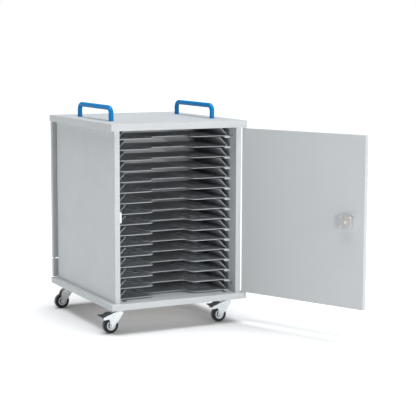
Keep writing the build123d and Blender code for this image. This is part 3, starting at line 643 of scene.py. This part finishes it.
def tube(shape: bmesh.types.BMesh, path: Sequence[Point], radius: float, sides: int,
         closed: bool = False) -> None:
    """Add a thin round bead along a path to a bmesh.

    Args:
        shape: The bmesh that it is added to.
        path: The points along its middle.
        radius: The bead's radius.
        sides: How many faces go round.
        closed: Whether the last point joins the first.
    """
    points = [Vector(point) for point in path]
    angles = [2 * math.pi * side / sides for side in range(sides)]
    rings = []
    for index, point in enumerate(points):
        before = points[index - 1] if index or closed else point
        after = points[(index + 1) % len(points)] if index + 1 < len(points) or closed else point
        ahead = (after - before).normalized()
        across = ahead.cross(Vector((0, 0, 1))).normalized()
        above = across.cross(ahead)
        spokes = [across * math.cos(angle) + above * math.sin(angle) for angle in angles]
        rings.append([shape.verts.new(point + radius * spoke) for spoke in spokes])
    for here, after in zip(rings, rings[1:]):
        join_rings(shape, here, after)
    if closed:
        join_rings(shape, rings[-1], rings[0])
    else:
        shape.faces.new(rings[0])
        shape.faces.new(rings[-1])
    bmesh.ops.recalc_face_normals(shape, faces=shape.faces)


def slab(shape: bmesh.types.BMesh, outline: Sequence[Point], depth: Vector, soft: float) -> None:
    """Add a slab with softened edges to a bmesh.

    Args:
        shape: The bmesh that it is added to.
        outline: The loop of points round its near face.
        depth: From the near face to the far one.
        soft: How far its edges are rounded.
    """
    near = shape.faces.new([shape.verts.new(point) for point in outline])
    swept = bmesh.ops.extrude_face_region(shape, geom=[near])["geom"]
    far = [item for item in swept if isinstance(item, bmesh.types.BMVert)]
    bmesh.ops.translate(shape, verts=far, vec=depth)
    whole = set(near.verts) | set(far)
    edges = [edge for edge in shape.edges if whole.issuperset(edge.verts)]
    bmesh.ops.recalc_face_normals(shape, faces=shape.faces)
    bmesh.ops.bevel(shape, geom=edges, offset=soft, segments=SLAB_SEGMENTS,
                    profile=SLAB_ROUNDNESS, affect="EDGES", clamp_overlap=True)


def relief_plate(name: str, width: float, height: float,
                 rise: Callable[[float, float], float]) -> bpy.types.Mesh:
    """Press a plate, drawn in X and Z about the origin, with its relief towards +Y.

    Args:
        name: The mesh's name.
        width: Its size along X.
        height: Its size along Z.
        rise: Gives the height of the relief at a point from the middle.

    Returns:
        The plate's mesh.
    """
    shape = bmesh.new()
    ticks = [index / PLATE_STEPS - 0.5 for index in range(PLATE_STEPS + 1)]
    rows = [[shape.verts.new((width * u, rise(width * u, height * v), height * v))
             for u in ticks] for v in ticks]
    for low, high in zip(rows, rows[1:]):
        for index in range(PLATE_STEPS):
            shape.faces.new((low[index], high[index], high[index + 1], low[index + 1]))
    return to_mesh(name, shape)


def ramp(value: float, start: float, end: float) -> float:
    """A smooth step from 0 at start to 1 at end."""
    share = min(1.0, max(0.0, (value - start) / (end - start)))
    return share * share * (3 - 2 * share)


# ------------------------------------------------------------------------------- sub-assemblies


@dataclass
class Cabinet:
    """The boards, side panels, back panel and the fittings that hold them."""

    frame: dict
    boards: tuple[str, ...] = ("top_board", "base_board", "left_side_panel", "right_side_panel",
                               "bay_back_panel", "rear_lower_panel")

    def build(self) -> None:
        """Dress the boards and their fittings."""
        for board in self.boards:
            dress_node(self.frame, board, Finish.BOARD)
        dress_node(self.frame, "panel_connectors", Finish.CONNECTOR)
        dress_node(self.frame, "front_strike", Finish.STRIKE)
        dress_node(self.frame, "rear_strike", Finish.STRIKE)
        dress_node(self.frame, "rear_panel_brackets", Finish.ZINC)
        dress_node(self.frame, "door_pivot_bushes", Finish.RAIL)
        dress_node(self.frame, "handle_screws", Finish.ZINC)


@dataclass
class TrayRack:
    """The rails on both side panels and the trays that slide on them."""

    frame: dict
    trays: int = 16
    floor: float = 0.002
    edge_ends: tuple[float, float] = (0.1105, 0.2465)
    recess: tuple[float, float, float] = (0.058, 0.106, 0.062)
    recess_slack: float = 1e-4
    bead: float = 0.0007
    bead_sides: int = 8
    vent_columns: tuple[tuple[float, float], ...] = ((0.086, 0.030), (0.134, 0.038), (0.186, 0.042))
    vent_rows: int = 5
    vent_first: float = 0.081
    vent_pitch: float = 0.0385
    vent_stagger: float = 0.010
    vent_half: float = 0.0028
    vent_bead: float = 0.00055
    vent_bead_sides: int = 4

    def build(self) -> None:
        """Dress the rails and the trays, and roll the trays' rims."""
        for side in ("left", "right"):
            dress_node(self.frame, f"{side}_tray_rails", Finish.RAIL)
        for number in range(1, self.trays + 1):
            node = f"tray_{number:02d}"
            dress_node(self.frame, node, Finish.TRAY)
            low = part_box(node)[0]
            shape = bmesh.new()
            tube(shape, self.front_edge(node, low), self.bead, self.bead_sides)
            for vent in self.vents(low):
                tube(shape, vent, self.vent_bead, self.vent_bead_sides, closed=True)
            name = f"{node}_rolled_rims"
            new_piece(name, to_mesh(name, shape), Finish.TRAY, f"{node}_slide_body")

    def front_edge(self, node: str, low: Sequence[float]) -> list[Point]:
        """The middle of the bead along a tray's front edge and round its finger recess.

        Args:
            node: The tray.
            low: Its lowest corner.

        Returns:
            The points, from left to right.
        """
        front, level = low[1], low[2] + self.floor
        inner, outer, depth = self.recess
        slack = self.recess_slack
        curve = {(round(x, POINT_DIGITS), round(y, POINT_DIGITS))
                 for x, y, z in (vertex.co for vertex in self.frame["nodes"][node].data.vertices)
                 if inner - slack < x < outer + slack
                 and front - slack < y < front + depth + slack
                 and abs(z - level) < slack}
        right = sorted(curve, key=lambda spot: (-spot[1], spot[0]))
        raised = front + self.bead
        ends = [(x, raised, level) for x in self.edge_ends]
        along = [(x, max(y, raised), level) for x, y in right]
        half = [(0.0, front + depth, level), *along, *ends]
        return [(-x, y, z) for x, y, z in reversed(half[1:])] + half

    def vents(self, low: Sequence[float]) -> list[list[Point]]:
        """The loops round the slots of a tray's floor.

        Args:
            low: The tray's lowest corner.

        Returns:
            A closed loop of points for each slot.
        """
        arc = (-90, -45, 0, 45, 90)
        ends = [(1, math.radians(turn)) for turn in arc]
        ends += [(-1, math.radians(180 + turn)) for turn in arc]
        loops = []
        for row in range(self.vent_rows):
            y = low[1] + self.vent_first + row * self.vent_pitch
            for column, length in self.vent_columns:
                straight = length / 2 - self.vent_half
                for side in (-1, 1):
                    x = side * (column + self.vent_stagger * (row % 2))
                    loops.append([(x + sign * straight + self.vent_half * math.cos(angle),
                                   y + self.vent_half * math.sin(angle),
                                   low[2] + self.floor) for sign, angle in ends])
        return loops


@dataclass
class Door:
    """A door with its pivots and its rim lock."""

    frame: dict
    end: str
    pivot: Point = (0.289, -0.333, 0.0)
    open_angle: float = 114.0
    lock_middle: Point = (-0.218, -0.3085, 0.4695)
    lock_size: tuple[float, float] = (0.054, 0.052)
    lock_corner: float = 0.008
    rim_slope: float = 0.0016
    screw_spacing: tuple[float, float] = (0.043, 0.039)
    lobe_radius: float = 0.0075
    barrel_half: float = 0.0085
    slope_half: float = 0.001
    key_offset: float = -0.002
    key_radius: float = 0.0062
    key_slope: float = 0.0014
    press: float = 0.0013
    pan_share: float = 0.25
    lift: float = 0.0001

    def build(self) -> None:
        """Dress the door, its pivots and its lock, and press the lock's cover."""
        leaf = f"{self.end}_door_leaf"
        new_piece(f"{self.end}_lock_cover", self.cover(), Finish.LOCK_COVER, leaf)
        dress_node(self.frame, f"{self.end}_door", Finish.BOARD)
        dress_node(self.frame, f"{self.end}_door_pivots", Finish.ZINC)
        dress_node(self.frame, f"{self.end}_lock_case", Finish.NICKEL)
        dress_node(self.frame, f"{self.end}_lock_screws", Finish.ZINC)
        dress_node(self.frame, f"{self.end}_lock_cylinder", Finish.KEY_METAL)
        dress_node(self.frame, f"{self.end}_lock_bolt", Finish.NICKEL)

    def place(self) -> Matrix:
        """Where a piece drawn on the closed front door goes.

        Returns:
            Its way to this door in the rest pose.
        """
        if self.end == "rear":
            return Matrix.Rotation(math.pi, 4, "Z")
        pivot = Matrix.Translation(self.pivot)
        return pivot @ Matrix.Rotation(math.radians(self.open_angle), 4, "Z") @ pivot.inverted()

    def cover_rise(self, x: float, z: float) -> float:
        """The height of the lock's pressed cover at a point from its middle.

        Args:
            x: Along the door.
            z: Up the door.

        Returns:
            The height.
        """
        half_width, half_height = (size / 2 for size in self.lock_size)
        corner_x = max(0.0, abs(x) - half_width + self.lock_corner)
        corner_z = max(0.0, abs(z) - half_height + self.lock_corner)
        rim = ramp(math.hypot(corner_x, corner_z), self.lock_corner,
                   self.lock_corner - self.rim_slope)
        screw = math.hypot(abs(x) - self.screw_spacing[0] / 2, abs(z) - self.screw_spacing[1] / 2)
        lobe = ramp(screw, self.lobe_radius + self.slope_half, self.lobe_radius - self.slope_half)
        from_key = x - self.key_offset
        barrel = ramp(abs(from_key), self.barrel_half + self.slope_half,
                      self.barrel_half - self.slope_half)
        key = ramp(math.hypot(from_key, z), self.key_radius, self.key_radius + self.key_slope)
        raised = self.pan_share + (1 - self.pan_share) * max(lobe, barrel * key)
        return rim * raised * self.press + self.lift

    def cover(self) -> bpy.types.Mesh:
        """Press the lock's cover, at its place on the door.

        Returns:
            The cover's mesh.
        """
        mesh = relief_plate(f"{self.end}_lock_cover", *self.lock_size, self.cover_rise)
        mesh.transform(self.place() @ Matrix.Translation(self.lock_middle))
        return mesh


@dataclass
class Handles:
    """The two grab handles on the top board."""

    frame: dict

    def build(self) -> None:
        """Dress the handles."""
        for side in ("left", "right"):
            dress_node(self.frame, f"{side}_handle", Finish.HANDLE)


@dataclass
class Caster:
    """One swivel caster: fork, wheel and tyre, and a brake pedal on the front ones.

    A turned profile is a list of points, each a radius and a place along the axle. The pedal's
    outline gives X and Z from the point on the floor under the kingpin.
    """

    frame: dict
    corner: str
    casing_half: Profile = (
        (0.0184, 0.0090), (0.0188, 0.0110), (0.0204, 0.0119), (0.0250, 0.0123),
        (0.0284, 0.0117), (0.0303, 0.0096), (0.0311, 0.0072), (0.0313, 0.0050))
    tread_half: Profile = (
        (0.0300, 0.0074), (0.0312, 0.0074), (0.0318, 0.0066), (0.0320, 0.0040),
        (0.0320, 0.0030), (0.0315, 0.0026), (0.0315, 0.0021), (0.0320, 0.0017))
    centre_half: Profile = (
        (0.0041, 0.0134), (0.0074, 0.0134), (0.0080, 0.0128), (0.0084, 0.0100),
        (0.0100, 0.0084), (0.0116, 0.0076), (0.0132, 0.0080), (0.0146, 0.0092),
        (0.0156, 0.0108), (0.0168, 0.0116), (0.0182, 0.0115), (0.0190, 0.0104))
    seal: Profile = (
        (0.0088, 0.0080), (0.0088, 0.0102), (0.0094, 0.0108), (0.0108, 0.0106),
        (0.0116, 0.0098), (0.0118, 0.0080))
    axle_head: Profile = (
        (0.0, 0.0192), (0.0052, 0.0192), (0.0056, 0.0197), (0.0056, 0.0216),
        (0.0050, 0.0224), (0.0, 0.0228))
    hexagon: int = 6
    race: Profile = (
        (0.0150, -0.0034), (0.0186, -0.0036), (0.0200, -0.0022), (0.0200, 0.0010),
        (0.0188, 0.0026), (0.0162, 0.0034), (0.0150, 0.0034))
    race_height: float = 0.0902
    trail: float = 0.036
    pedal_half: float = 0.0134
    pedal_soft: float = 0.0014
    pedal_outline: Profile = (
        (-0.0225, 0.0690), (-0.0225, 0.0780), (-0.0280, 0.0820), (-0.0350, 0.0850),
        (-0.0460, 0.0860), (-0.0540, 0.0835), (-0.0610, 0.0790), (-0.0720, 0.0770),
        (-0.0860, 0.0780), (-0.0870, 0.0755), (-0.0790, 0.0700), (-0.0720, 0.0655),
        (-0.0660, 0.0655), (-0.0580, 0.0700), (-0.0420, 0.0675), (-0.0280, 0.0675))
    rib_places: tuple[float, ...] = (-0.070, -0.0745, -0.079, -0.0835)
    rib_radius: float = 0.0009
    rib_inset: float = 0.0025
    rib_sides: int = 8
    foot_plate_start: tuple[float, float] = (-0.072, 0.0770)
    foot_plate_slope: float = -0.0714

    def build(self) -> None:
        """Dress the fork and build the wheel, and the pedal of a front caster."""
        low, high = (Vector(corner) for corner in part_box(f"{self.corner}_tyre"))
        hub = (low + high) / 2
        swivel = f"{self.corner}_caster_swivel"
        dress_node(self.frame, f"{self.corner}_fork", Finish.ZINC)
        self.build_wheel(hub)
        kingpin = Vector((hub.x + self.trail, hub.y, 0.0))
        upright = Matrix.Rotation(math.radians(90), 3, "X")
        name = f"{self.corner}_swivel_race"
        ring = turned(name, self.race, kingpin + Vector((0, 0, self.race_height)), upright)
        new_piece(name, ring, Finish.ZINC, swivel)
        for side, label in ((-1, "near"), (1, "far")):
            profile = [(radius, side * along) for radius, along in self.axle_head]
            name = f"{self.corner}_{label}_axle_head"
            head = turned(name, profile, hub, segments=self.hexagon)
            new_piece(name, head, Finish.ZINC, swivel)
        if self.corner.startswith("front"):
            self.build_pedal(kingpin)

    def build_wheel(self, hub: Vector) -> None:
        """Turn the tyre, its tread, the wheel's centre and its seals.

        Args:
            hub: The middle of the wheel.
        """
        body = f"{self.corner}_caster_wheel"
        # The tread ring's grey is worn rubber and a painted highlight along the tread.
        rings = (("tyre_casing", self.casing_half, Finish.TYRE, "tyre"),
                 ("tyre_tread", self.tread_half, Finish.TREAD, None),
                 ("wheel_centre", self.centre_half, Finish.WHEEL, "wheel"))
        for label, half, finish, replaced in rings:
            name = f"{self.corner}_{label}"
            profile = [*half, *((radius, -along) for radius, along in reversed(half))]
            piece = new_piece(name, turned(name, profile, hub), finish, body)
            if replaced:
                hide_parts(f"{self.corner}_{replaced}")
        for side, label in ((-1, "near"), (1, "far")):
            profile = [(radius, side * along) for radius, along in self.seal]
            name = f"{self.corner}_{label}_bearing_seal"
            new_piece(name, turned(name, profile, hub), Finish.BLACK, body)

    def build_pedal(self, kingpin: Vector) -> None:
        """Mould the brake pedal and the ribs on its foot plate.

        Args:
            kingpin: The point on the floor under the kingpin.
        """
        shape = bmesh.new()
        near = kingpin - Vector((0, self.pedal_half, 0))
        outline = [near + Vector((x, 0, z)) for x, z in self.pedal_outline]
        slab(shape, outline, Vector((0, 2 * self.pedal_half, 0)), self.pedal_soft)
        reach = self.pedal_half - self.rib_inset
        start_x, start_z = self.foot_plate_start
        for place in self.rib_places:
            height = start_z + self.foot_plate_slope * (place - start_x)
            ends = [kingpin + Vector((place, side * reach, height)) for side in (-1, 1)]
            tube(shape, ends, self.rib_radius, self.rib_sides)
        name = f"{self.corner}_moulded_pedal"
        piece = new_piece(name, to_mesh(name, shape), Finish.BLACK, f"{self.corner}_brake")
        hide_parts(f"{self.corner}_brake_pedal")


# ------------------------------------------------------------------------------- studio


@dataclass
class Lamp:
    """A lamp aimed at a point: a square softbox, or a sun's even light from far away.

    The size is a softbox's width in metres, or how many degrees of sky the sun fills.
    """

    name: str
    kind: str
    place: Point
    size: float
    power: float
    target: Point = (0.0, 0.0, 0.45)
    colour: Colour = (1.0, 1.0, 1.0)

    def build(self) -> None:
        """Hang the lamp."""
        data = bpy.data.lights.new(self.name, self.kind)
        if self.kind == "SUN":
            data.angle = math.radians(self.size)
        else:
            data.shape = "SQUARE"
            data.size = self.size
        data.energy = self.power
        data.color = self.colour
        lamp = bpy.data.objects.new(self.name, data)
        bpy.context.scene.collection.objects.link(lamp)
        aim = (Vector(self.target) - Vector(self.place)).to_track_quat("-Z", "Y")
        lamp.matrix_world = Matrix.Translation(self.place) @ aim.to_matrix().to_4x4()
        LOG.info("hung %s", self.name)


@dataclass
class Studio:
    """A pale floor, soft light and the camera."""

    camera_place: Point = (-2.249, -4.926, 1.177)
    azimuth: float = 27.33
    elevation: float = 7.59
    roll: float = 0.22
    lens: float = 111.66
    sensor: float = 36.0
    floor_half: float = 30.0
    floor_colour: Colour = (0.78, 0.777, 0.773)
    floor_roughness: float = 0.9
    floor_specular: float = 0.1
    ambient: float = 0.3
    lamps: tuple[Lamp, ...] = field(default_factory=lambda: (
        Lamp("ceiling_light", "SUN", (0.1, -0.1, 4.0), size=50.0, power=4.2,
             colour=(0.97, 1.0, 1.02)),
        Lamp("front_softbox", "AREA", (0.2, -4.6, 0.95), size=0.3, power=50.0),
        Lamp("left_softbox", "AREA", (-4.6, -1.6, 0.9), size=1.6, power=16.0),
        Lamp("key_light", "AREA", (1.32, -3.34, 1.0), size=0.15, power=21.0),
        Lamp("under_fill", "AREA", (0.0, 0.0, 0.098), size=0.5, power=0.17,
             target=(0.0, 0.0, 0.0), colour=(1.0, 0.95, 0.92)),
    ))

    def build(self) -> None:
        """Lay the floor, hang the lamps, and set the camera."""
        self.lay_floor()
        self.fill_sky()
        for lamp in self.lamps:
            lamp.build()
        self.set_camera()
        bpy.context.scene.view_settings.view_transform = "Standard"

    def lay_floor(self) -> None:
        """Lay the plain pale floor."""
        mesh = bpy.data.meshes.new("studio_floor")
        half = self.floor_half
        corners = [(-half, -half, 0), (half, -half, 0), (half, half, 0), (-half, half, 0)]
        mesh.from_pydata(corners, [], [(0, 1, 2, 3)])
        shader = Shader("studio_floor_paint")
        shader.surface.inputs["Base Color"].default_value = (*self.floor_colour, 1.0)
        shader.constants(Roughness=self.floor_roughness, Specular_IOR_Level=self.floor_specular)
        mesh.materials.append(shader.material)
        floor = bpy.data.objects.new("studio_floor", mesh)
        bpy.context.scene.collection.objects.link(floor)

    def fill_sky(self) -> None:
        """Fill the room with even light, and show plain white behind the trolley."""
        world = bpy.data.worlds.new("studio_room")
        world.use_nodes = True
        tree = world.node_tree
        tree.nodes.clear()
        soft = tree.nodes.new("ShaderNodeBackground")
        soft.inputs["Strength"].default_value = self.ambient
        plain = tree.nodes.new("ShaderNodeBackground")
        plain.inputs["Color"].default_value = (1.0, 1.0, 1.0, 1.0)
        seen = tree.nodes.new("ShaderNodeLightPath")
        mix = tree.nodes.new("ShaderNodeMixShader")
        output = tree.nodes.new("ShaderNodeOutputWorld")
        tree.links.new(seen.outputs["Is Camera Ray"], mix.inputs["Fac"])
        tree.links.new(soft.outputs["Background"], mix.inputs[1])
        tree.links.new(plain.outputs["Background"], mix.inputs[2])
        tree.links.new(mix.outputs["Shader"], output.inputs["Surface"])
        bpy.context.scene.world = world

    def set_camera(self) -> None:
        """Place the camera, level but for a slight roll."""
        azimuth, elevation, roll = (
            math.radians(angle) for angle in (self.azimuth, self.elevation, self.roll))
        ahead = Vector((math.sin(azimuth) * math.cos(elevation),
                        math.cos(azimuth) * math.cos(elevation),
                        -math.sin(elevation)))
        right = ahead.cross(Vector((0, 0, 1))).normalized()
        up = right.cross(ahead)
        tilted_right = right * math.cos(roll) + up * math.sin(roll)
        tilted_up = up * math.cos(roll) - right * math.sin(roll)
        data = bpy.data.cameras.new("studio_camera")
        data.lens = self.lens
        data.sensor_width = self.sensor
        camera = bpy.data.objects.new("studio_camera", data)
        bpy.context.scene.collection.objects.link(camera)
        turn = Matrix((tilted_right, tilted_up, -ahead)).transposed().to_4x4()
        camera.matrix_world = Matrix.Translation(self.camera_place) @ turn
        bpy.context.scene.camera = camera


def main() -> None:
    """Build every sub-assembly around the frame."""
    logging.basicConfig(level=logging.INFO, format="%(name)s: %(message)s")
    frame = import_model()
    Studio().build()
    Cabinet(frame).build()
    TrayRack(frame).build()
    for end in ("front", "rear"):
        Door(frame, end).build()
    Handles(frame).build()
    for corner in ("front_left", "front_right", "rear_left", "rear_right"):
        Caster(frame, corner).build()
    dress_node(frame, "caster_top_plates", Finish.ZINC)
    dress_node(frame, "caster_bolts", Finish.DARK_STEEL)


if __name__ == "__main__":
    main()
